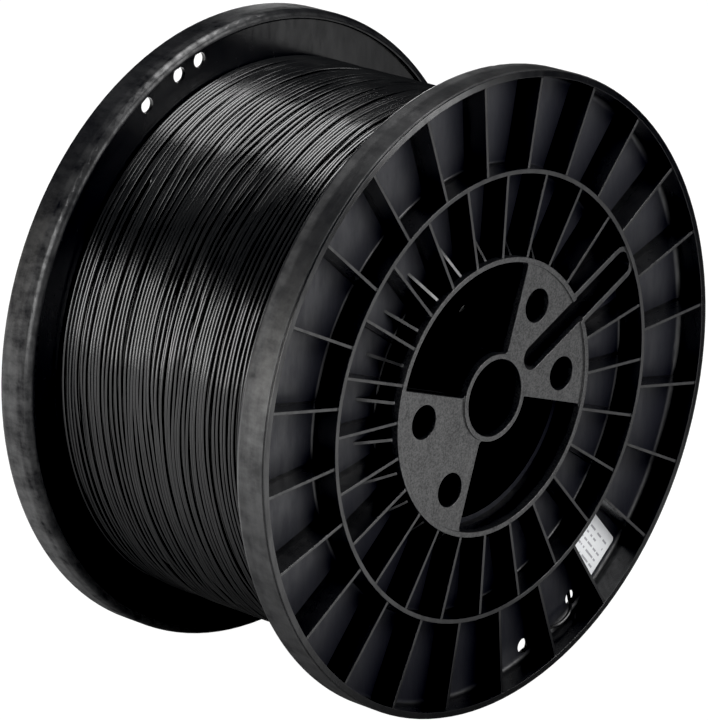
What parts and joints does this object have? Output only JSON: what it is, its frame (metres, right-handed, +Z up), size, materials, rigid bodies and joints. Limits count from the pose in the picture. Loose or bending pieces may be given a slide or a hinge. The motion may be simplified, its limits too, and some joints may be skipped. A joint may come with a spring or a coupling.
{
  "type": "filament spool",
  "caption": "Large black 3-D printer filament spool: two ribbed round flanges on a core barrel, wound full of glossy black filament, standing on its rims.",
  "frame": {"origin": "middle of the spool, on its axis and midway between the two flanges", "axes": "+Y along the spool's axis, from the front flange to the rear flange; +Z up as it stands on its rims; +X to the right, seen from the front"},
  "size_m": [0.3, 0.164, 0.3],
  "materials": {
    "flange_plastic": "satin moulded, finely textured",
    "barrel_plastic": "satin moulded",
    "filament": "glossy extruded strand",
    "label_paper": "coated paper"
  },
  "bodies": {
    "root": {"front_flange": "flange_plastic", "rear_flange": "flange_plastic", "core_barrel": "barrel_plastic", "filament_winding": "filament", "filament_end": "filament", "stock_label": "label_paper"}
  },
  "joints": []
}
